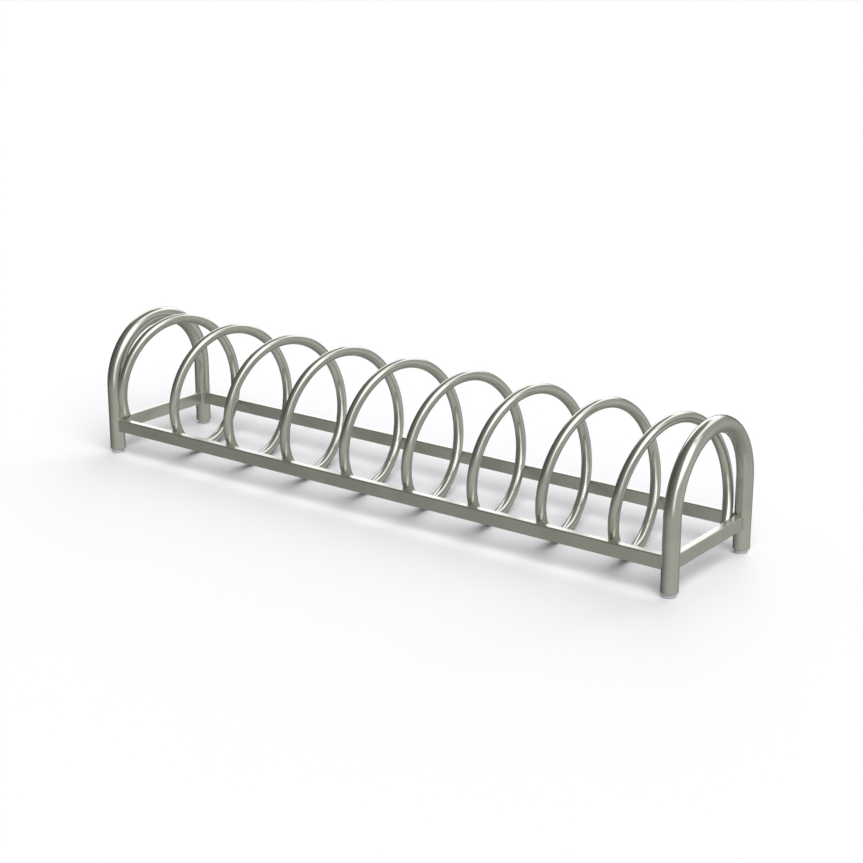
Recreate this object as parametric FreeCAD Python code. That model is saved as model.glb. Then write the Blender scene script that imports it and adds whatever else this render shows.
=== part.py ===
import FreeCAD, Part
import math
import os

from FreeCAD import Vector

os.makedirs("parts", exist_ok=True)

# Driving dimensions, in millimetres
hoop_spacing = 2550.0
leg_spacing = 500.0
hoop_tube_diameter = 60.0
hoop_tube_wall = 2.0
coil_tube_diameter = 38.0
rail_height = 50.0
rail_width = 30.0
rail_wall = 2.0
arch_count = 9
coil_start_offset = 44.5
coil_finish_offset = 67.5
coil_start_overrun = 4.0
coil_floor_clearance = 1.0
end_cap_thickness = 3.0
end_plate_thickness = 8.0
foot_height = 16.0
foot_diameter = 50.0
foot_edge_chamfer = 2.5

# Flat sides that stand for a round tube
hoop_sides = 12
coil_sides = 10

# Gaps left for the welds, and for a piece that sits inside another
weld_gap = 0.3
inside_fit = 0.1

# Sizes that follow from the driving ones
rack_axis = Vector(1, 0, 0)
upwards = Vector(0, 0, 1)
half_length = hoop_spacing / 2
half_depth = leg_spacing / 2
hoop_tube_radius = hoop_tube_diameter / 2
hoop_bore_radius = hoop_tube_radius - hoop_tube_wall
coil_tube_radius = coil_tube_diameter / 2
arch_radius = half_depth
coil_radius = arch_radius
axis_height = coil_floor_clearance + coil_tube_radius + coil_radius

# Cold-formed rectangular tube is rounded by twice its wall outside and once its wall inside
rail_corner_radius = 2 * rail_wall
rail_inner_corner_radius = rail_wall

# The rails lie where the outside of the coil meets their inner top corners
corner_centre_y = half_depth - rail_width / 2 + rail_corner_radius
corner_reach = coil_radius + coil_tube_radius + weld_gap + rail_corner_radius
corner_drop = math.sqrt(corner_reach ** 2 - corner_centre_y ** 2)
contact_angle = math.atan2(corner_drop, corner_centre_y)
rail_top = axis_height - corner_drop + rail_corner_radius
rail_axis_height = rail_top - rail_height / 2
rail_underside = rail_top - rail_height

# The run of the coil along the rack
half_turns = 2 * arch_count - 1
coil_start_x = -half_length + coil_start_offset
coil_pitch = 2 * (hoop_spacing - coil_start_offset - coil_finish_offset) / half_turns
lead_per_radian = coil_pitch / (2 * math.pi)
length_per_radian = math.hypot(coil_radius, lead_per_radian)
cap_turn = end_cap_thickness / length_per_radian
tube_start_angle = cap_turn - contact_angle - coil_start_overrun / length_per_radian
finish_reach = coil_tube_radius * coil_radius / length_per_radian
finish_x = half_length - rail_width / 2 - weld_gap - finish_reach
tube_finish_angle = (finish_x - coil_start_x) / lead_per_radian - cap_turn


def flat_sided_ring(centre, way, radius, sides):
    """Outline of a round bar, square to its direction, with its corners on the circle."""
    first = way.cross(rack_axis).normalize()
    second = way.cross(first)
    corners = []
    for side in range(sides):
        turn = 2 * math.pi * (side + 0.5) / sides
        corners.append(centre + first * (radius * math.cos(turn)) + second * (radius * math.sin(turn)))
    return Part.makePolygon(corners, True)


def bar_along(path, ring):
    """Solid bar with the ring's outline along a path of lines and arcs."""
    pipe = Part.BRepOffsetAPI.MakePipeShell(path)
    pipe.add(ring)
    pipe.build()
    pipe.makeSolid()
    return pipe.shape()


def hoop_bar(x, radius):
    """Inverted U of two straight legs and a half-round arch, solid right through."""
    front_foot = Vector(x, -half_depth, foot_height)
    front_shoulder = Vector(x, -half_depth, axis_height)
    crown = Vector(x, 0, axis_height + arch_radius)
    rear_shoulder = Vector(x, half_depth, axis_height)
    rear_foot = Vector(x, half_depth, foot_height)
    path = Part.Wire([
        Part.LineSegment(front_foot, front_shoulder).toShape(),
        Part.Arc(front_shoulder, crown, rear_shoulder).toShape(),
        Part.LineSegment(rear_shoulder, rear_foot).toShape(),
    ])
    return bar_along(path, flat_sided_ring(front_foot, upwards, radius, hoop_sides))


def hoop_envelope(x):
    """The hoop with the weld gap added to its flats, for shaping what is welded to it."""
    return hoop_bar(x, hoop_tube_radius + weld_gap / math.cos(math.pi / hoop_sides))


def leg_disc(x, y, bottom, thickness, radius):
    """Disc in line with a leg and of the same outline."""
    ring = flat_sided_ring(Vector(x, y, bottom), upwards, radius, hoop_sides)
    return Part.Face(ring).extrude(upwards * thickness)


def end_hoop(x):
    """End hoop with its legs bored from below to the rails' underside; the closed tube above is solid."""
    hoop = hoop_bar(x, hoop_tube_radius)
    bore_depth = rail_underside - foot_height
    for y in (-half_depth, half_depth):
        hoop = hoop.cut(leg_disc(x, y, foot_height, bore_depth, hoop_bore_radius))
    return hoop


def rubber_foot(x, y):
    """Pad under a leg's end plate, with its lower edge chamfered."""
    pad = leg_disc(x, y, 0, foot_height, foot_diameter / 2)
    lower_edges = [edge for edge in pad.Edges if edge.BoundBox.ZMax < foot_height / 2]
    return pad.makeChamfer(foot_edge_chamfer, lower_edges)


def rounded_bar(length, width, height, corner_radius):
    """Bar along X, centred on it, with its four long edges rounded."""
    bar = Part.makeBox(length, width, height, Vector(-length / 2, -width / 2, -height / 2))
    long_edges = [edge for edge in bar.Edges if edge.BoundBox.XLength > length / 2]
    return bar.makeFillet(corner_radius, long_edges)


def rail_tube(length):
    """Rectangular tube along X, centred on it."""
    outside = rounded_bar(length, rail_width, rail_height, rail_corner_radius)
    bore_width = rail_width - 2 * rail_wall
    bore_height = rail_height - 2 * rail_wall
    return outside.cut(rounded_bar(length, bore_width, bore_height, rail_inner_corner_radius))


def long_rail(y):
    """Rail from leg to leg along the rack, its ends shaped to the round legs."""
    rail = rail_tube(hoop_spacing)
    rail.translate(Vector(0, y, rail_axis_height))
    return rail.cut(hoop_envelope(-half_length)).cut(hoop_envelope(half_length))


def end_rail(x):
    """Rail between the two legs of one hoop, its ends shaped to them."""
    rail = rail_tube(leg_spacing)
    rail.rotate(Vector(), upwards, 90)
    rail.translate(Vector(x, 0, rail_axis_height))
    return rail.cut(hoop_envelope(x))


def coil_point(angle):
    """Point of the coil's centreline; angle 0 is on the front side, level with the axis."""
    return Vector(
        coil_start_x + lead_per_radian * angle,
        -coil_radius * math.cos(angle),
        axis_height + coil_radius * math.sin(angle),
    )


def coil_way(angle):
    """Unit direction of the coil's centreline, upwards on the front side."""
    way = Vector(
        lead_per_radian,
        coil_radius * math.sin(angle),
        coil_radius * math.cos(angle),
    )
    return way.normalize()


def arc_between(start, corner, end):
    """Arc between two points whose tangents meet at the corner point."""
    weight = (end - start).Length / (corner - start).Length
    middle = (start + end + corner * weight) / (2 + weight)
    return Part.Arc(start, middle, end).toShape()


def biarc(first_angle, last_angle):
    """Two arcs, tangent to each other, that follow the centreline between two angles."""
    first = coil_point(first_angle)
    last = coil_point(last_angle)
    first_way = coil_way(first_angle)
    last_way = coil_way(last_angle)
    chord = last - first
    bend = 2 * (1 - first_way.dot(last_way))
    along = chord.dot(first_way + last_way)
    reach = (math.sqrt(along ** 2 + bend * chord.dot(chord)) - along) / bend
    first_corner = first + first_way * reach
    last_corner = last - last_way * reach
    joint = (first_corner + last_corner) / 2
    return [arc_between(first, first_corner, joint), arc_between(joint, last_corner, last)]


def coil_path():
    """The centreline from end to end, a quarter turn at a time."""
    angles = [tube_start_angle]
    angles += [math.pi / 2 * quarter for quarter in range(2 * half_turns + 1)]
    angles.append(tube_finish_angle)
    arcs = []
    for first_angle, last_angle in zip(angles, angles[1:]):
        arcs += biarc(first_angle, last_angle)
    return Part.Wire(arcs)


def end_cap(coil, angle, outwards):
    """Disc on the end face of the coil's tube, with the outline of that face."""
    end_point = coil_point(angle)
    end_face = min(coil.Faces, key=lambda face: (face.CenterOfMass - end_point).Length)
    return end_face.extrude(outwards * end_cap_thickness)


def least_gap_to_itself():
    """Least clear distance between the coil's turns, on points along its centreline."""
    steps_per_turn = 72
    step = 2 * math.pi / steps_per_turn
    count = int((tube_finish_angle - tube_start_angle) / step)
    points = [coil_point(tube_start_angle + step * index) for index in range(count + 1)]
    spacings = []
    for index, point in enumerate(points):
        for other in points[index + steps_per_turn // 2:]:
            spacings.append(point.distanceToPoint(other))
    return min(spacings) - coil_tube_diameter


pieces = {
    "front_rail": long_rail(-half_depth),
    "rear_rail": long_rail(half_depth),
}

for side, x in (("left", -half_length), ("right", half_length)):
    pieces[side + "_end_hoop"] = end_hoop(x)
    pieces[side + "_end_rail"] = end_rail(x)
    for row, y in (("front", -half_depth), ("rear", half_depth)):
        corner = row + "_" + side
        plate_radius = hoop_bore_radius - inside_fit
        pieces[corner + "_end_plate"] = leg_disc(x, y, foot_height, end_plate_thickness, plate_radius)
        pieces[corner + "_foot"] = rubber_foot(x, y)

coil_ring = flat_sided_ring(
    coil_point(tube_start_angle), coil_way(tube_start_angle), coil_tube_radius, coil_sides
)
whole_coil = bar_along(coil_path(), coil_ring)
start_cap = end_cap(whole_coil, tube_start_angle, -coil_way(tube_start_angle))
beside_left_leg = hoop_envelope(-half_length)
pieces["spiral_coil"] = whole_coil.cut(beside_left_leg)
pieces["coil_start_cap"] = start_cap.cut(beside_left_leg)
pieces["coil_finish_cap"] = end_cap(whole_coil, tube_finish_angle, coil_way(tube_finish_angle))
print("least gap of the coil to itself, mm:", round(least_gap_to_itself(), 1))

for name, shape in pieces.items():
    shape.exportStep("parts/" + name + ".step")
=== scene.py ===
import math

import bpy
import numpy as np
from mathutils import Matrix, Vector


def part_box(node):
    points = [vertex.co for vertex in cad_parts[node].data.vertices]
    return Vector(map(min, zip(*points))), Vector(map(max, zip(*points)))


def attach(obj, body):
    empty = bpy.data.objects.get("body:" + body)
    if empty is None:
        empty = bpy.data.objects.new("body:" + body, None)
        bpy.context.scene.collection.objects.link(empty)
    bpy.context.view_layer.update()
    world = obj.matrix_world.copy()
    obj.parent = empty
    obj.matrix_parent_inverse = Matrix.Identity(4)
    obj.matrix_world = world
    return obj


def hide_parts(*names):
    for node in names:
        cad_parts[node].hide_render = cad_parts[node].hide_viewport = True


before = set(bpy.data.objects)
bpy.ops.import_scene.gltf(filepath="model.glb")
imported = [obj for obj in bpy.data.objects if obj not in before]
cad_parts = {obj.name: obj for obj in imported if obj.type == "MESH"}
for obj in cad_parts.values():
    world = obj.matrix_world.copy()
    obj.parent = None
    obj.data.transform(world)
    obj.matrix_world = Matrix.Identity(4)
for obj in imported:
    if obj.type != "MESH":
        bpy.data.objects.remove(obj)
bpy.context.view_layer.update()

# Sizes of the tubes and fittings, in metres
HOOP_TUBE_RADIUS = 0.030
HOOP_BORE_RADIUS = 0.028
COIL_TUBE_RADIUS = 0.019
RAIL_CORNER_RADIUS = 0.004
CAP_THICKNESS = 0.003
PLATE_THICKNESS = 0.008
PLATE_RADIUS = 0.0279
WELD_GAP = 0.0003
LEG_BORE_DEPTH = 1.2 * PLATE_THICKNESS

# Small roundings, bevels and hollows, in metres
LEG_LIP = 0.0005
CAP_RIM = 0.0012
CAP_BEVEL = 0.0004
PLATE_RIM = 0.0010
PLATE_HOLLOW_DEPTH = 0.0006
PLATE_HOLLOW_FLOOR = 0.012
PLATE_HOLLOW_EDGE = 0.014
FOOT_EDGE = 0.0006

# Run of the coil, in metres and arches
ARCHES = 9
COIL_START_OFFSET = 0.0445
COIL_FINISH_OFFSET = 0.0675
COIL_START_OVERRUN = 0.004
COIL_CLEARANCE = 0.001

# Weld beads and the tint beside them, in metres
BEAD_RADIUS = 0.0015
RIPPLE_LENGTH = 0.0030
BEAD_SPACING = RIPPLE_LENGTH / 6
HEAT_REACH = 0.020

# Points round one row of a skin, and counts of rows
HOOP_COLUMNS = 56
COIL_COLUMNS = 40
BEAD_COLUMNS = 10
SHORT_WELD_ROWS = 40
LEG_ROWS = 24
ARCH_ROWS = 120
COIL_ROWS_PER_TURN = 112
HALF_RAIL_ROWS = 28

# Steps between the points of each weld that tint the steel beside it
FRAME_WELD_STEP = 12
SHORT_WELD_STEP = 16
LEG_WELD_STEP = 10

# Sizes and places that the frame gives
foot_low, foot_high = (np.array(corner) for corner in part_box("front_left_foot"))
rail_low, rail_high = (np.array(corner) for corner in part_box("front_rail"))
half_length, half_depth = -(foot_low + foot_high)[:2] / 2
foot_radius = (foot_high - foot_low)[0] / 2
leg_end = foot_high[2]
rail_height = rail_high[2] - rail_low[2]
rail_width = rail_high[1] - rail_low[1]
rail_middle = (rail_high[2] + rail_low[2]) / 2
axis_height = COIL_CLEARANCE + COIL_TUBE_RADIUS + half_depth
leg_length = axis_height - leg_end
arch_length = math.pi * half_depth
sides = {"left": -half_length, "right": half_length}
rows = {"front": -half_depth, "rear": half_depth}

# The coil's pitch and the angles where it starts, touches the rails and ends
half_turns = 2 * ARCHES - 1
coil_start_x = -half_length + COIL_START_OFFSET
coil_run = 2 * half_length - COIL_START_OFFSET - COIL_FINISH_OFFSET
lead = coil_run / (math.pi * half_turns)
length_per_radian = math.hypot(half_depth, lead)
coil_reach_x = COIL_TUBE_RADIUS * half_depth / length_per_radian
corner_y = half_depth - rail_width / 2 + RAIL_CORNER_RADIUS
contact_angle = math.acos(corner_y / (half_depth + COIL_TUBE_RADIUS + WELD_GAP + RAIL_CORNER_RADIUS))
cap_turn = CAP_THICKNESS / length_per_radian
start_angle = -contact_angle - COIL_START_OVERRUN / length_per_radian
finish_x = half_length - rail_width / 2 - WELD_GAP - coil_reach_x
finish_angle = (finish_x - coil_start_x) / lead

X_AXIS = np.array([1.0, 0.0, 0.0])
Y_AXIS = np.array([0.0, 1.0, 0.0])
Z_AXIS = np.array([0.0, 0.0, 1.0])


# Skins and meshes

def unit(vectors):
    """Each vector divided by its own length."""
    return vectors / np.linalg.norm(vectors, axis=-1, keepdims=True)


def quarter_round(steps):
    """Cosines and sines of evenly spaced angles from zero to a right angle."""
    angle = np.linspace(0, math.pi / 2, steps)
    return np.cos(angle), np.sin(angle)


def tube(path, along, side, radius, columns):
    """Round skin along a path, each row a circle about a path point and square to the path there.

    A point is the path point plus radius times (cos v times the side direction plus sin v times its
    normal), with v going once round the row.
    """
    count = len(path)
    along = np.broadcast_to(unit(np.asarray(along, float)), (count, 3))
    side = np.broadcast_to(np.asarray(side, float), (count, 3))
    side = unit(side - along * np.sum(side * along, axis=1, keepdims=True))
    normal = np.cross(along, side)
    turn = np.linspace(0, 2 * math.pi, columns, endpoint=False)[None, :, None]
    radius = np.broadcast_to(np.asarray(radius, float), (count,))[:, None, None]
    ring = np.cos(turn) * side[:, None] + np.sin(turn) * normal[:, None]
    return path[:, None] + radius * ring


def lathe(profile, base, axis, columns):
    """Round piece: (radius, height) pairs turned about an axis, other than Y, through the base point."""
    return tube(base + profile[:, 1:] * axis, axis, Y_AXIS, profile[:, 0], columns)


def skin(points, loop=False):
    """Faces over rows of points that each close on themselves, and a fan to each end row's middle.

    A loop's last row joins its first instead. Returns the vertices, the faces as quads and triangles,
    and each corner's UV: metres along the rows' middles and metres round the widest row.
    """
    count, columns = points.shape[:2]
    middles = points.mean(axis=1)
    steps = np.linalg.norm(np.diff(middles, axis=0, append=middles[:1]), axis=1)
    along = np.concatenate([[0.0], np.cumsum(steps)])
    widths = np.linalg.norm(np.roll(points, -1, axis=1) - points, axis=2)
    around = np.concatenate([[0.0], np.cumsum(widths[np.argmax(widths.sum(axis=1))])])
    row = np.arange(count if loop else count - 1)[:, None]
    column = np.arange(columns)[None, :]
    corner_rows = np.stack([row, row, row + 1, row + 1], axis=-1)
    corner_rows = np.broadcast_to(corner_rows, (len(row), columns, 4)).reshape(-1, 4)
    corner_columns = np.stack([column, column + 1, column + 1, column], axis=-1)
    corner_columns = np.broadcast_to(corner_columns, (len(row), columns, 4)).reshape(-1, 4)
    quads = (corner_rows % count) * columns + corner_columns % columns
    quad_uv = np.stack([along[corner_rows], around[corner_columns]], axis=-1)
    vertices = points.reshape(-1, 3)
    if loop:
        return vertices, quads, np.zeros((0, 3), int), quad_uv, np.zeros((0, 3, 2))
    vertices = np.concatenate([vertices, middles[:1], middles[-1:]])
    ring = np.arange(columns)
    after = (ring + 1) % columns
    first_middle = count * columns
    last_row = (count - 1) * columns
    fans = np.concatenate([
        np.stack([np.full(columns, first_middle), after, ring], axis=1),
        np.stack([np.full(columns, first_middle + 1), last_row + ring, last_row + after], axis=1),
    ])
    fan_along = np.repeat([along[0], along[count - 1]], columns)[:, None].repeat(3, axis=1)
    ring_uv = np.stack([around[:-1], around[1:], around[:-1]], axis=1)
    fan_uv = np.stack([fan_along, np.concatenate([ring_uv, ring_uv])], axis=-1)
    return vertices, quads, fans, quad_uv, fan_uv


def outward(vertices, quads, fans, quad_uv, fan_uv):
    """The same skin with its faces turned outwards, told by the sign of the volume that it encloses."""
    halves = np.concatenate([quads[:, [0, 1, 2]], quads[:, [0, 2, 3]], fans])
    first, second, third = (vertices[halves[:, k]] for k in range(3))
    if np.sum(first * np.cross(second, third)) >= 0:
        return vertices, quads, fans, quad_uv, fan_uv
    return vertices, quads[:, ::-1], fans[:, ::-1], quad_uv[:, ::-1], fan_uv[:, ::-1]


def weld_heat(vertices, weld_points):
    """How near each vertex is to a weld: 1 on it, falling as a bell curve of the distance."""
    block_size = 64
    nearest = np.full(len(vertices), np.inf)
    for block in np.array_split(weld_points, max(1, len(weld_points) // block_size)):
        distance = np.linalg.norm(vertices[:, None] - block[None], axis=2)
        nearest = np.minimum(nearest, distance.min(axis=1))
    return np.exp(-(nearest / HEAT_REACH) ** 2)


def add_piece(name, skins, finish, nodes=(), weld_points=None):
    """Puts one or more skins into a mesh of the rack and hides the model's pieces that they stand in for.
    """
    vertices, faces, uvs = [], [], []
    start = 0
    for one_skin in skins:
        points, quads, fans, quad_uv, fan_uv = outward(*one_skin)
        vertices.append(points)
        faces += (quads + start).tolist() + (fans + start).tolist()
        uvs += [quad_uv.reshape(-1, 2), fan_uv.reshape(-1, 2)]
        start += len(points)
    vertices = np.concatenate(vertices)
    mesh = bpy.data.meshes.new(name)
    mesh.from_pydata(vertices.tolist(), [], faces)
    mesh.polygons.foreach_set("use_smooth", np.ones(len(faces), bool))
    mesh.uv_layers.new(name="surface").data.foreach_set("uv", np.concatenate(uvs).ravel())
    if weld_points is not None:
        heat = mesh.attributes.new("weld_heat", "FLOAT", "POINT")
        heat.data.foreach_set("value", weld_heat(vertices, weld_points))
    mesh.materials.append(finish)
    mesh.update()
    piece = bpy.data.objects.new(name, mesh)
    bpy.context.scene.collection.objects.link(piece)
    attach(piece, "root")
    if nodes:
        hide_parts(*nodes)


# Hoops

def hoop_line(distance):
    """Centreline of a hoop in its own plane, its direction and the outward direction there.

    Up the front leg, round a half circle about the rack's axis and down the rear leg; distance runs
    along it.
    """
    turn = np.clip((distance - leg_length) / half_depth, 0, math.pi)
    below = np.maximum(leg_length - distance, 0) + np.maximum(distance - leg_length - arch_length, 0)
    zero = np.zeros_like(turn)
    away = np.stack([zero, -np.cos(turn), np.sin(turn)], axis=1)
    path = axis_height * Z_AXIS + half_depth * away - below[:, None] * Z_AXIS
    along = np.stack([zero, np.sin(turn), np.cos(turn)], axis=1)
    return path, along, away


def leg_lip():
    """Rounded end of a leg as (distance from the end, radius) pairs, from its bore to its outside.

    Each of its two edges is a quarter circle. The bore is closed a little above the plate.
    """
    closing = [[LEG_BORE_DEPTH, HOOP_BORE_RADIUS]]
    cosine, sine = quarter_round(steps=5)
    inside = np.stack([LEG_LIP * (1 - cosine), HOOP_BORE_RADIUS + LEG_LIP * (1 - sine)], axis=1)
    outside = np.stack([LEG_LIP * (1 - sine), HOOP_TUBE_RADIUS - LEG_LIP * (1 - cosine)], axis=1)
    return np.concatenate([closing, inside[::-1], outside[::-1]])


def hoop_skin(x):
    """Tube along a hoop's centreline, with rounded open ends that turn in to the bore."""
    behind_lip = 0.0009
    first_leg_row = 0.004
    lip = leg_lip()
    whole = 2 * leg_length + arch_length
    leg = np.concatenate([[behind_lip], np.linspace(first_leg_row, leg_length, LEG_ROWS)])
    arch = leg_length + np.linspace(0, arch_length, ARCH_ROWS)[1:-1]
    distance = np.concatenate([lip[:, 0], leg, arch, whole - leg[::-1], whole - lip[::-1, 0]])
    body = np.full(2 * len(leg) + len(arch), HOOP_TUBE_RADIUS)
    radius = np.concatenate([lip[:, 1], body, lip[::-1, 1]])
    path, along, away = hoop_line(distance)
    return skin(tube(path + x * X_AXIS, along, away, radius, HOOP_COLUMNS))


# Coil

def coil_line(angle):
    """Helix about the rack's axis: path point, direction and outward direction at each angle.

    Angle 0 is on the front side, level with the axis. The helix climbs there, and it moves along X by the
    lead for each radian.
    """
    zero = np.zeros_like(angle)
    away = np.stack([zero, -np.cos(angle), np.sin(angle)], axis=1)
    path = half_depth * away + axis_height * Z_AXIS + (coil_start_x + lead * angle)[:, None] * X_AXIS
    along = np.stack([zero + lead, half_depth * np.sin(angle), half_depth * np.cos(angle)], axis=1)
    return path, unit(along), away


def left_hoop_offset(points):
    """From the nearest point of the left hoop's centreline to each given point."""
    turn = np.arctan2(np.maximum(points[..., 2] - axis_height, 0), -points[..., 1])
    x = np.full_like(turn, -half_length)
    height = axis_height + half_depth * np.sin(turn) + np.minimum(points[..., 2] - axis_height, 0)
    nearest = np.stack([x, -half_depth * np.cos(turn), height], axis=-1)
    return points - nearest


def cope(points):
    """The points, with those inside the left hoop's tube moved straight out to its surface."""
    least_reach = 1e-6
    offset = left_hoop_offset(points)
    reach = np.linalg.norm(offset, axis=-1, keepdims=True)
    push = HOOP_TUBE_RADIUS / np.maximum(reach, least_reach) - 1
    push = np.where(reach < HOOP_TUBE_RADIUS, push, 0)
    return points + offset * push


def coil_skin():
    """Tube along the helix, closed at both ends, shaped to the left front leg where it runs into it."""
    first, last = start_angle + cap_turn, finish_angle - cap_turn
    count = int((last - first) / (2 * math.pi) * COIL_ROWS_PER_TURN)
    path, along, away = coil_line(np.linspace(first, last, count))
    return skin(cope(tube(path, along, away, COIL_TUBE_RADIUS, COIL_COLUMNS)))


def cap_skin(angle, outwards):
    """Disc on an end of the coil, turned from a profile.

    It is bevelled beside the tube and has a quarter-round outer rim.
    """
    path, along, away = coil_line(np.array([angle]))
    cosine, sine = quarter_round(steps=6)
    bevel = [[COIL_TUBE_RADIUS - CAP_BEVEL, 0.0], [COIL_TUBE_RADIUS, CAP_BEVEL]]
    rim_radius = COIL_TUBE_RADIUS - CAP_RIM * (1 - cosine)
    rim_height = CAP_THICKNESS - CAP_RIM * (1 - sine)
    face = [[COIL_TUBE_RADIUS / 2, CAP_THICKNESS]]
    profile = np.concatenate([bevel, np.stack([rim_radius, rim_height], axis=1), face])
    base = path[0] - outwards * along[0] * CAP_THICKNESS
    return skin(cope(lathe(profile, base, outwards * along[0], COIL_COLUMNS)))


# Rails

def rounded_outline(width, height, corner):
    """Rectangle with quarter-round corners as (across, up) pairs.

    One corner's arc, with a close point beside each of its ends, is turned by right angles for the
    others.
    """
    beside = 0.0006
    cosine, sine = quarter_round(steps=8)
    arc = corner * np.stack([cosine, sine], axis=1)
    arc = np.concatenate([[[corner, -beside]], arc, [[-beside, corner]]])
    middle = np.array([width / 2 - corner, height / 2 - corner])
    right_angle = np.array([[0, -1], [1, 0]])
    turns = [np.linalg.matrix_power(right_angle, k) for k in range(4)]
    return np.concatenate([arc @ turn.T + turn.sum(axis=1) * middle for turn in turns])


def rail_rows(half_span):
    """Rectangular tube along X, its middle at the origin and its ends hollowed to fit round legs.

    The legs' axes lie a half_span to either side. Each lengthwise line runs to where it meets the leg:
    half_span less the root of (leg radius squared less the line's own distance across squared). Rows
    lie closer together towards the ends.
    """
    end_rows = [0.0, 0.0006, 0.003, 0.008, 0.016, 0.030]
    first_inner_row = 0.045
    across, up = rounded_outline(rail_width, rail_height, RAIL_CORNER_RADIUS).T
    reach = half_span - np.sqrt(HOOP_TUBE_RADIUS ** 2 - across ** 2)
    inner_rows = np.linspace(first_inner_row, half_span, HALF_RAIL_ROWS, endpoint=False)
    share = np.concatenate([end_rows, inner_rows]) / half_span
    share = np.concatenate([share, [1.0], 2 - share[::-1]]) - 1
    return np.stack(np.broadcast_arrays(share[:, None] * reach, across, up), axis=-1)


def quarter_turned(points):
    """The same points turned a quarter turn about Z, from along X to along Y."""
    return np.stack([-points[..., 1], points[..., 0], points[..., 2]], axis=-1)


def long_rail_skin(y):
    """Rail along the rack at depth y."""
    return skin(rail_rows(half_length) + y * Y_AXIS + rail_middle * Z_AXIS)


def end_rail_skin(x):
    """Rail across one end of the rack."""
    return skin(quarter_turned(rail_rows(half_depth)) + x * X_AXIS + rail_middle * Z_AXIS)


# Plates and feet

def plate_skin(ground):
    """Plate set into a leg's end, turned from a profile.

    Below, it has a shallow hollow in the middle and a quarter-round rim.
    """
    hollow = [[PLATE_HOLLOW_FLOOR, PLATE_HOLLOW_DEPTH], [PLATE_HOLLOW_EDGE, 0.0]]
    cosine, sine = quarter_round(steps=5)
    rim = np.stack([PLATE_RADIUS - PLATE_RIM * (1 - sine), PLATE_RIM * (1 - cosine)], axis=1)
    side = [[PLATE_RADIUS, PLATE_THICKNESS]]
    profile = np.concatenate([hollow, rim, side])
    return skin(lathe(profile, ground + leg_end * Z_AXIS, Z_AXIS, HOOP_COLUMNS))


def foot_skin(ground):
    """Rubber foot, turned from a profile.

    It has a shallow hollow below, a flat tread with a bevelled edge, and a side that widens a little
    towards its bevelled upper edge.
    """
    radius, height = foot_radius, leg_end
    hollow = [[0.45 * radius, 0.0012], [0.62 * radius, 0.0010]]
    tread = [[0.68 * radius, 0.0], [0.86 * radius, 0.0]]
    bevel = [[0.88 * radius, 0.0002], [0.96 * radius, 0.0022], [0.975 * radius, 0.0034]]
    side = [[0.99 * radius, 0.55 * height], [radius, 0.80 * height]]
    upper_edge = [[radius, height - FOOT_EDGE], [radius - FOOT_EDGE, height]]
    profile = np.array(hollow + tread + bevel + side + upper_edge)
    return skin(lathe(profile, ground, Z_AXIS, HOOP_COLUMNS))


# Welds

def run_length(path):
    """Distance along a path at each of its points."""
    return np.concatenate([[0.0], np.cumsum(np.linalg.norm(np.diff(path, axis=0), axis=1))])


def resample(path):
    """The same path with evenly spaced points, close enough together for the ripples."""
    distance = run_length(path)
    even = np.linspace(0, distance[-1], int(distance[-1] / BEAD_SPACING))
    return np.stack([np.interp(even, distance, path[:, k]) for k in range(3)], axis=1)


def closed_bead(path):
    """Weld bead round a closed line: a tube whose radius ripples a whole number of times, as a sine."""
    ripple_height = 0.025
    along = np.roll(path, -1, axis=0) - np.roll(path, 1, axis=0)
    ring = np.linalg.norm(np.roll(path, -1, axis=0) - path, axis=1).sum()
    distance = run_length(path) * round(ring / RIPPLE_LENGTH) * RIPPLE_LENGTH / ring
    radius = BEAD_RADIUS * (1 + ripple_height * np.sin(2 * math.pi * distance / RIPPLE_LENGTH))
    return skin(tube(path, along, path - path.mean(axis=0), radius, BEAD_COLUMNS), loop=True)


def open_bead(path, side, radius=BEAD_RADIUS):
    """Weld bead along an open line: a tube that thins close to its ends.

    Its radius is multiplied by the root of (1 less the eighth power of the distance from the middle, in
    half lengths), and by a fifth at the least.
    """
    least_square = 0.2 ** 2
    distance = run_length(path)
    along = np.gradient(path, axis=0)
    from_middle = 2 * distance / distance[-1] - 1
    taper = np.sqrt(np.clip(1 - from_middle ** 8, least_square, 1))
    return skin(tube(path, along, side, radius * taper, BEAD_COLUMNS))


def rail_weld_line(side):
    """Closed line round a rail's end where it meets a leg, with the leg's axis at the origin.

    The rail runs along X, to the given side.
    """
    proud = 0.0003
    width, height = rail_width + 2 * proud, rail_height + 2 * proud
    outline = rounded_outline(width, height, RAIL_CORNER_RADIUS + proud)
    across, up = np.concatenate([outline, outline[:1]]).T
    x = side * np.sqrt((HOOP_TUBE_RADIUS + proud) ** 2 - across ** 2)
    return resample(np.stack([x, across, up], axis=1))[:-1]


def frame_weld_lines():
    """Weld lines of both rails that meet at each leg."""
    lines = []
    for x in sides.values():
        for y in rows.values():
            leg = np.array([x, y, rail_middle])
            lines.append(rail_weld_line(-np.sign(x)) + leg)
            lines.append(quarter_turned(rail_weld_line(-np.sign(y))) + leg)
    return lines


def coil_contacts():
    """Places where the coil lies against the rails' inner top corners.

    Each comes with the direction round the rack's axis there and the outward direction.
    """
    whole_turns = 2 * math.pi * np.arange(ARCHES)
    angle = np.concatenate([whole_turns - contact_angle, whole_turns + math.pi + contact_angle])
    path, along, away = coil_line(angle)
    round_axis = np.stack([np.zeros_like(angle), np.sin(angle), np.cos(angle)], axis=1)
    return path + away * (COIL_TUBE_RADIUS + WELD_GAP / 2), round_axis, away


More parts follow.
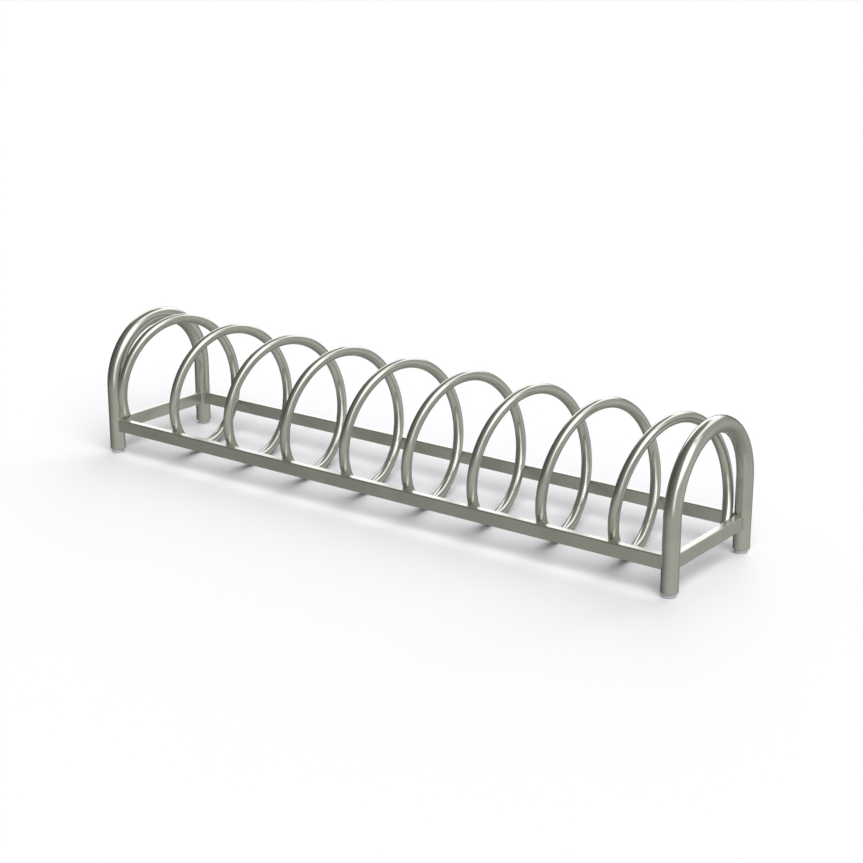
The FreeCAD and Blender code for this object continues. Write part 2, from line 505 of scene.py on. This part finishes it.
def coil_weld_lines():
    """Short weld lines along the rails' corners, above and below each place where the coil touches.

    Each keeps to the middle of the groove between the coil and the rail's rounded corner and is thick
    enough to fill it: on each side of the touch, the groove is as deep as the tube's or corner's radius
    less the root of (that radius squared less distance squared).
    """
    half_run = 0.007
    lift = 0.0026
    bite = 0.0003
    spread = np.linspace(-half_run, half_run, SHORT_WELD_ROWS)
    coil_side = COIL_TUBE_RADIUS - np.sqrt(COIL_TUBE_RADIUS ** 2 - spread ** 2)
    rail_side = RAIL_CORNER_RADIUS - math.sqrt(RAIL_CORNER_RADIUS ** 2 - lift ** 2)
    middle = (rail_side - coil_side) / 2
    radius = (rail_side + coil_side) / 2 + bite
    lines = []
    for place, round_axis, away in zip(*coil_contacts()):
        for side in (-1, 1):
            line = place + side * lift * round_axis + spread[:, None] * X_AXIS + middle[:, None] * away
            lines.append((line, away, radius))
    return lines


def finish_weld_lines():
    """Short weld lines above and below the place where the coil's end touches the right end rail."""
    half_run = 0.010
    lift = 0.0030
    radius = 0.8 * BEAD_RADIUS
    path, along, away = coil_line(np.array([finish_angle - cap_turn - half_run / length_per_radian]))
    spread = np.linspace(-half_run, half_run, SHORT_WELD_ROWS)[:, None]
    touch = path[0] + X_AXIS * coil_reach_x
    return [(touch + spread * along[0] + side * lift * away[0], X_AXIS, radius) for side in (-1, 1)]


def leg_weld_line():
    """Line round the patch where the coil's start runs into the left front leg.

    It goes up one side and down the other. On each row of the coil's skin it is where the distance to the
    leg's centreline equals the leg's radius.
    """
    past_the_patch = 0.2
    fine_rows = 160
    fine_columns = 720
    path, along, away = coil_line(np.linspace(start_angle + cap_turn, past_the_patch, fine_rows))
    rings = tube(path, along, away, COIL_TUBE_RADIUS, fine_columns)
    inside = np.linalg.norm(left_hoop_offset(rings), axis=2) < HOOP_TUBE_RADIUS
    meets = inside.any(axis=1)
    ring_rows = np.flatnonzero(meets)
    enters = np.argmax(inside & ~np.roll(inside, 1, axis=1), axis=1)[meets]
    leaves = np.argmax(inside & ~np.roll(inside, -1, axis=1), axis=1)[meets]
    up, down = rings[ring_rows, enters], rings[ring_rows, leaves][::-1]
    return resample(np.concatenate([up, down]))


# Materials

class Value:
    """A socket of a node tree; sums on it add Math nodes."""

    def __init__(self, tree, socket):
        self.tree = tree
        self.socket = socket

    def work_out(self, operation, first, second):
        """Math node of two values."""
        return self.tree.node("ShaderNodeMath", {"operation": operation}, {0: first, 1: second})

    def __add__(self, other):
        return self.work_out("ADD", self, other)

    def __sub__(self, other):
        return self.work_out("SUBTRACT", self, other)

    def __rsub__(self, other):
        return self.work_out("SUBTRACT", other, self)

    def __mul__(self, other):
        return self.work_out("MULTIPLY", self, other)

    __radd__ = __add__
    __rmul__ = __mul__


class Tree:
    """A node tree under construction."""

    def __init__(self, owner):
        owner.use_nodes = True
        self.nodes = owner.node_tree.nodes
        self.links = owner.node_tree.links
        self.nodes.clear()

    def node(self, kind, settings=None, sockets=None, output=0):
        """Adds a node, sets its settings, then its sockets to numbers or links, and gives one output."""
        node = self.nodes.new(kind)
        for name, value in (settings or {}).items():
            setattr(node, name, value)
        for name, value in (sockets or {}).items():
            if isinstance(value, Value):
                self.links.new(value.socket, node.inputs[name])
            else:
                node.inputs[name].default_value = value
        return Value(self, node.outputs[output]) if node.outputs else None

    def blend(self, factor, first, second):
        """Colour that goes from the first to the second as the factor goes from 0 to 1.

        The colours of this node are its inputs 6 and 7 and its output 2.
        """
        return self.node("ShaderNodeMix", {"data_type": "RGBA"}, {0: factor, 6: first, 7: second}, 2)

    def rise(self, value, low, high, start=0.0, end=1.0):
        """Smooth step from start to end while the value goes from low to high."""
        return self.node(
            "ShaderNodeMapRange",
            {"interpolation_type": "SMOOTHSTEP"},
            {0: value, 1: low, 2: high, 3: start, 4: end},
        )

    def noise(self, vector, scale, detail, roughness):
        """Cloudy values about one half."""
        return self.node(
            "ShaderNodeTexNoise",
            {"noise_dimensions": "3D"},
            {"Vector": vector, "Scale": scale, "Detail": detail, "Roughness": roughness},
        )

    def bump(self, height, strength, distance):
        """Surface direction disturbed by a height."""
        sockets = {"Strength": strength, "Distance": distance, "Height": height}
        return self.node("ShaderNodeBump", None, sockets)

    def surface(self, sockets):
        """Principled shader as the material's surface."""
        shader = self.node("ShaderNodeBsdfPrincipled", None, sockets)
        self.node("ShaderNodeOutputMaterial", None, {"Surface": shader})


def times(colour, factor):
    """Opaque colour: each channel times a number, or times its own one of three."""
    return tuple(np.array(colour) * factor) + (1.0,)


def satin_steel(name, colour, roughness, heat=True):
    """Ground stainless steel: fine grinding lines, cloudy patches of polish and a faint tint by welds."""
    lines_along_and_round = (9.0, 900.0, 1.0)
    material = bpy.data.materials.new(name)
    tree = Tree(material)
    place = tree.node("ShaderNodeTexCoord", output="Object")
    sockets = {0: tree.node("ShaderNodeTexCoord", output="UV"), 1: lines_along_and_round}
    stretched = tree.node("ShaderNodeVectorMath", {"operation": "MULTIPLY"}, sockets)
    lines = tree.noise(stretched, scale=1.0, detail=3.0, roughness=0.6)
    clouds = tree.noise(place, scale=7.0, detail=3.0, roughness=0.55)
    specks = tree.noise(place, scale=160.0, detail=2.0, roughness=0.5)
    polish = tree.rise(clouds * 0.7 + lines * 0.3, low=0.36, high=0.64)
    shade = tree.blend(polish, times(colour, 0.93), times(colour, 1.05))
    rough = roughness + (clouds - 0.5) * 0.06 + (lines - 0.5) * 0.05 + (specks - 0.5) * 0.02
    if heat:
        near = tree.node("ShaderNodeAttribute", {"attribute_name": "weld_heat"}, output="Fac")
        straw = times(colour, (0.92, 0.82, 0.62))
        tint = tree.rise(near, low=0.35, high=1.0, start=0.0, end=0.12)
        shade = tree.blend(tint, shade, straw)
        rough = rough + near * 0.03
    grooves = tree.bump(lines * 0.7 + specks * 0.3, strength=0.02, distance=0.0002)
    tree.surface({"Base Color": shade, "Metallic": 1.0, "Roughness": rough, "Normal": grooves})
    return material


def weld_steel():
    """Bead metal: much like the steel beside it, a little cloudier and rougher."""
    material = bpy.data.materials.new("weld_bead")
    tree = Tree(material)
    place = tree.node("ShaderNodeTexCoord", output="Object")
    clouds = tree.noise(place, scale=420.0, detail=2.0, roughness=0.5)
    polish = tree.rise(clouds, low=0.35, high=0.65)
    shade = tree.blend(polish, (0.52, 0.515, 0.445, 1), (0.62, 0.62, 0.545, 1))
    rough = 0.20 + clouds * 0.10
    lumps = tree.bump(clouds, strength=0.08, distance=0.0004)
    tree.surface({"Base Color": shade, "Metallic": 1.0, "Roughness": rough, "Normal": lumps})
    return material


def foot_rubber():
    """Matt grey rubber with a fine pebbled skin and dust towards the ground."""
    material = bpy.data.materials.new("foot_rubber")
    tree = Tree(material)
    place = tree.node("ShaderNodeTexCoord", output="Object")
    height = tree.node("ShaderNodeSeparateXYZ", None, {0: place}, output="Z")
    pebbles = tree.noise(place, scale=900.0, detail=2.0, roughness=0.5)
    clouds = tree.noise(place, scale=60.0, detail=3.0, roughness=0.6)
    dust = tree.rise(height, low=0.0, high=0.010, start=0.6, end=0.0) * clouds
    fading = tree.rise(clouds, low=0.3, high=0.7)
    shade = tree.blend(fading, (0.47, 0.47, 0.48, 1), (0.55, 0.55, 0.56, 1))
    shade = tree.blend(dust, shade, (0.47, 0.46, 0.44, 1))
    rough = 0.72 + (pebbles - 0.5) * 0.2
    grain = tree.bump(pebbles, strength=0.25, distance=0.0003)
    tree.surface({"Base Color": shade, "Roughness": rough, "Normal": grain})
    return material


# The pieces

tube_colour = (0.605, 0.61, 0.525)
plate_colour = (0.58, 0.58, 0.50)
hoop_steel = satin_steel("hoop_steel", tube_colour, roughness=0.14)
coil_steel = satin_steel("coil_steel", tube_colour, roughness=0.14)
rail_steel = satin_steel("rail_steel", tube_colour, roughness=0.29)
plate_steel = satin_steel("plate_steel", plate_colour, roughness=0.34, heat=False)
bead_steel = weld_steel()
rubber = foot_rubber()

frame_welds = frame_weld_lines()
short_welds = coil_weld_lines() + finish_weld_lines()
leg_weld = leg_weld_line()
weld_points = np.concatenate(
    [line[::FRAME_WELD_STEP] for line in frame_welds]
    + [line[::SHORT_WELD_STEP] for line, side, radius in short_welds]
    + [leg_weld[::LEG_WELD_STEP]]
)

for side, x in sides.items():
    hoop, rail = [hoop_skin(x)], [end_rail_skin(x)]
    add_piece(side + "_hoop_tube", hoop, hoop_steel, [side + "_end_hoop"], weld_points)
    add_piece(side + "_cross_rail", rail, rail_steel, [side + "_end_rail"], weld_points)
for row, y in rows.items():
    rail = [long_rail_skin(y)]
    add_piece(row + "_long_rail", rail, rail_steel, [row + "_rail"], weld_points)

coil_pieces = (
    ("coil_tube", coil_skin(), "spiral_coil"),
    ("coil_start_disc", cap_skin(start_angle, -1), "coil_start_cap"),
    ("coil_finish_disc", cap_skin(finish_angle, 1), "coil_finish_cap"),
)
for name, shape, node in coil_pieces:
    add_piece(name, [shape], coil_steel, [node], weld_points)

frame_beads = [closed_bead(line) for line in frame_welds]
coil_beads = [open_bead(*weld) for weld in short_welds] + [open_bead(leg_weld, Y_AXIS)]
add_piece("frame_weld_beads", frame_beads, bead_steel)
add_piece("coil_weld_beads", coil_beads, bead_steel)

for side, x in sides.items():
    for row, y in rows.items():
        corner = row + "_" + side
        ground = np.array([x, y, 0.0])
        plate, foot = [plate_skin(ground)], [foot_skin(ground)]
        add_piece(corner + "_plate", plate, plate_steel, [corner + "_end_plate"])
        add_piece(corner + "_rubber_foot", foot, rubber, [corner + "_foot"])


# Floor, light and camera

def studio_floor():
    """Plain pale floor, far wider than the view."""
    reach = 40.0
    corners = [(-reach, -reach, 0), (reach, -reach, 0), (reach, reach, 0), (-reach, reach, 0)]
    mesh = bpy.data.meshes.new("floor")
    mesh.from_pydata(corners, [], [(0, 1, 2, 3)])
    material = bpy.data.materials.new("floor_white")
    tree = Tree(material)
    shader = tree.node("ShaderNodeBsdfDiffuse", None, {"Color": (0.92, 0.92, 0.92, 1)})
    tree.node("ShaderNodeOutputMaterial", None, {"Surface": shader})
    mesh.materials.append(material)
    floor = bpy.data.objects.new("floor", mesh)
    bpy.context.scene.collection.objects.link(floor)
    floor.visible_glossy = False


def heading(azimuth):
    """Level unit direction, in degrees round from +X towards +Y."""
    turn = math.radians(azimuth)
    return np.array([math.cos(turn), math.sin(turn), 0.0])


class Room(Tree):
    """Node tree of the world, whose patches of light are placed by direction."""

    def __init__(self, world):
        super().__init__(world)
        self.way = self.node("ShaderNodeTexCoord")
        self.height = self.node("ShaderNodeMath", {"operation": "ARCSINE"}, {0: self.facing(Z_AXIS)})

    def facing(self, direction):
        """Cosine of the angle to a direction."""
        sockets = {0: self.way, 1: direction}
        return self.node("ShaderNodeVectorMath", {"operation": "DOT_PRODUCT"}, sockets, "Value")

    def fade(self, value, half, edge):
        """1 while the value's size is well under half, fading to 0 about it.

        The value is in radians, half and edge are in degrees.
        """
        size = self.node("ShaderNodeMath", {"operation": "ABSOLUTE"}, {0: value})
        inner, outer = math.radians(half - edge), math.radians(half + edge)
        return self.rise(size, low=inner, high=outer, start=1.0, end=0.0)

    def panel(self, azimuth, elevation, half_width, half_height, edges, slope=0.0):
        """Soft-edged four-sided patch, 1 inside and 0 outside, in degrees round and up.

        Its upper and lower sides climb by the slope, in degrees up for each degree round.
        """
        sockets = {0: self.facing(heading(azimuth + 90)), 1: self.facing(heading(azimuth))}
        across = self.node("ShaderNodeMath", {"operation": "ARCTAN2"}, sockets)
        up = self.height - math.radians(elevation) - across * slope
        return self.fade(across, half_width, edges[0]) * self.fade(up, half_height, edges[1])

    def ray(self, fact):
        """What is known of the ray that meets the room: a count, or 1 for yes and 0 for no."""
        return self.node("ShaderNodeLightPath", output=fact)


def mirrored_room(tree):
    """Brightness of the room that the steel mirrors.

    Its upper half is dim at the left and mid grey at the right, and its lower half is brightest at the
    front right. Soft-edged windows and patches of floor add to that, and two shades take away.
    """
    upper = 0.113 + 0.41 * tree.rise(tree.facing(heading(10)), low=-1.1, high=1.0)
    lower = 0.215 + 0.36 * tree.rise(tree.facing(heading(-42)), low=-0.9, high=1.0)
    lower = lower * tree.rise(tree.facing(-Z_AXIS), low=0.6, high=1.0, start=1.0, end=0.8)
    below = tree.rise(tree.facing(-Z_AXIS), low=-0.1, high=0.5)
    # Azimuth, elevation, half width, half height and softness of the edges, in degrees
    front_window = tree.panel(-28, 50, 35, 29, (9, 9), slope=0.15)
    front_window_side = tree.panel(18, 54, 17, 17, (12, 10), slope=0.6)
    low_front_window = tree.panel(-57, 6, 13, 14, (7, 8))
    back_window = tree.panel(77, 48, 50, 14.5, (7, 7), slope=-0.72)
    left_window = tree.panel(142, 23, 17, 16, (6, 6))
    left_window_side = tree.panel(118, 19, 7, 6, (4, 4))
    back_floor = tree.panel(118, -42, 16, 14, (7, 8))
    right_floor = tree.panel(55, -15, 35, 18, (15, 10))
    front_floor = tree.panel(-40, -55, 11, 8, (6, 5))
    left_shade = tree.panel(172, 0, 26, 18, (10, 8))
    back_shade = tree.panel(134, -12, 40, 20, (12, 9))
    room = upper * (1 - below) + lower * below
    room = room + 1.4 * front_window + 0.75 * front_window_side + 0.75 * low_front_window
    room = room + 1.2 * back_window + 1.6 * left_window + 0.7 * left_window_side
    room = room + 0.16 * back_floor + 0.115 * right_floor + 0.17 * front_floor
    return room * (1 - 0.30 * left_shade) * (1 - 0.55 * back_shade)


def room_within_steel(tree):
    """Brightness of the simpler room that steel mirrors where it is itself seen in steel.

    It is grey, with a bright window high at the right and two darker places, high at the left and level
    at the front right.
    """
    window = tree.panel(-18, 55, 42, 20, (12, 8))
    high_shade = tree.panel(-150, 62, 48, 18, (10, 8))
    low_shade = tree.panel(-30, 6, 34, 24, (10, 10))
    return 0.56 + 1.35 * window - 0.38 * high_shade - 0.13 * low_shade


def studio_world():
    """Plain white behind the object, an even pale sky for matt surfaces and a room for steel to mirror.

    Dim parts of the room are slightly warm and bright ones slightly cool, as is the simpler room within
    steel. Steel throws none of it onto the floor.
    """
    world = bpy.data.worlds.new("studio")
    bpy.context.scene.world = world
    tree = Room(world)
    room = mirrored_room(tree)
    twice = tree.rise(tree.ray("Ray Depth"), low=2.2, high=2.8)
    bright = tree.rise(room, low=0.35, high=1.1)
    tint = tree.blend(bright, (1, 1, 0.975, 1), (1, 1, 1.085, 1))
    tint = tree.blend(twice, tint, (1, 1, 1.14, 1))
    room = room * (1 - twice) + room_within_steel(tree) * twice
    room = room * tree.rise(tree.ray("Diffuse Depth"), low=0.2, high=0.8, start=1.0, end=0.0)
    mirrored = tree.node("ShaderNodeBackground", None, {"Color": tint, "Strength": room})
    sky = tree.node("ShaderNodeBackground", None, {"Color": (0.90, 0.94, 1.0, 1), "Strength": 0.18})
    plain = tree.node("ShaderNodeBackground", None, {"Color": (1, 1, 1, 1), "Strength": 1.0})
    lit = tree.node("ShaderNodeMixShader", None, {0: tree.ray("Is Diffuse Ray"), 1: mirrored, 2: sky})
    seen = tree.node("ShaderNodeMixShader", None, {0: tree.ray("Is Camera Ray"), 1: lit, 2: plain})
    tree.node("ShaderNodeOutputWorld", None, {"Surface": seen})


def soft_lamp(name, azimuth, elevation, strength, spread):
    """Lamp far away in a given direction, for soft-edged shadows; the steel mirrors the room instead."""
    light = bpy.data.lights.new(name, "SUN")
    light.energy = strength
    light.angle = math.radians(spread)
    lamp = bpy.data.objects.new(name, light)
    lamp.rotation_euler = (0, math.radians(90 - elevation), math.radians(azimuth))
    lamp.visible_glossy = False
    bpy.context.scene.collection.objects.link(lamp)


def photo_camera():
    """Camera at the photograph's place and angle."""
    lens = bpy.data.cameras.new("camera")
    lens.sensor_width = 36.0
    lens.lens = 75.66
    lens.shift_x = 0.0065
    camera = bpy.data.objects.new("camera", lens)
    camera.location = (3.9256, -5.1054, 2.2776)
    camera.rotation_euler = (math.radians(72.61), 0, math.radians(36.86))
    bpy.context.scene.collection.objects.link(camera)
    bpy.context.scene.camera = camera


studio_floor()
studio_world()
soft_lamp("front_lamp", azimuth=-40, elevation=50, strength=2.52, spread=54)
soft_lamp("back_lamp", azimuth=97, elevation=31, strength=1.58, spread=60)
photo_camera()
bpy.context.scene.view_settings.view_transform = "Standard"
